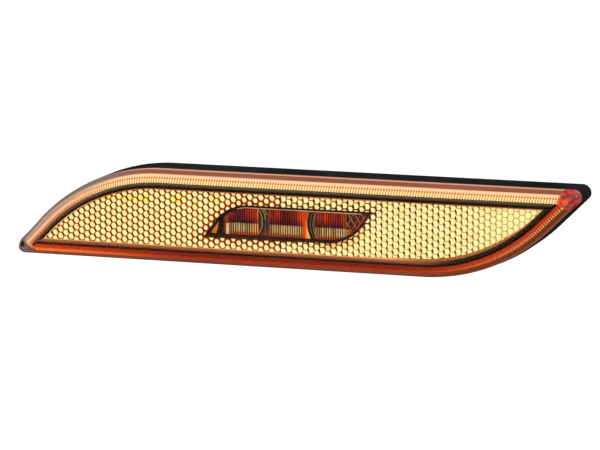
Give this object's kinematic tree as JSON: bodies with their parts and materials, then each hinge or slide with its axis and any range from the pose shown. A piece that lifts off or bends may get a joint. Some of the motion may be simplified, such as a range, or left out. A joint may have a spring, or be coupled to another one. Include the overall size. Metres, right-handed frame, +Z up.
{
  "type": "side marker lamp",
  "caption": "Leaf-shaped vehicle side marker lamp: prism reflector, lit window and edge light guide under a clear amber lens, screwed on and plugged in from behind.",
  "frame": {"origin": "midway between the two screw inserts, on the rear face of the housing", "axes": "+X along the length, to the right of someone facing the lens; +Z up; the lens faces -Y and the connector points along +Y"},
  "size_m": [0.211, 0.035, 0.0338],
  "materials": {
    "housing_black": "fine satin moulded plastic",
    "lens_clear_amber": "polished clear amber lens plastic",
    "reflex_amber": "amber prism plate, bright under light",
    "bezel_black": "smooth black plastic",
    "guide_amber": "toothed amber light guide",
    "guide_red_amber": "toothed deep amber light guide",
    "bowl_dark": "smooth dark bowls",
    "optic_amber": "fluted clear amber plastic",
    "board_green": "solder-resist finish",
    "led_white": "moulded diode body with clear dome",
    "chip_black": "moulded component bodies",
    "capacitor_tan": "moulded component body",
    "contact_metal": "tinned contact metal",
    "screw_steel": "zinc-plated steel",
    "insert_brass": "turned brass",
    "membrane_white": "porous white membrane",
    "gasket_foam": "closed-cell foam"
  },
  "bodies": {
    "root": {"rear_housing": "housing_black", "outer_lens": "lens_clear_amber", "reflex_reflector": "reflex_amber", "bezel": "bezel_black", "upper_light_guide": "guide_amber", "lower_light_guide": "guide_red_amber", "left_tip_block": "guide_red_amber", "right_tip_block": "guide_red_amber", "reflector_bank": "bowl_dark", "fluted_optic": "optic_amber", "circuit_board": "board_green", "led_left": "led_white", "led_centre": "led_white", "led_right": "led_white", "left_guide_led": "led_white", "right_guide_led": "led_white", "driver_chip": "chip_black", "ballast_resistors": "chip_black", "smoothing_capacitor": "capacitor_tan", "protection_diode": "chip_black", "supply_pin": "contact_metal", "ground_pin": "contact_metal", "board_screws": "screw_steel", "threaded_inserts": "insert_brass", "vent_membrane": "membrane_white", "body_gasket": "gasket_foam"}
  },
  "joints": []
}
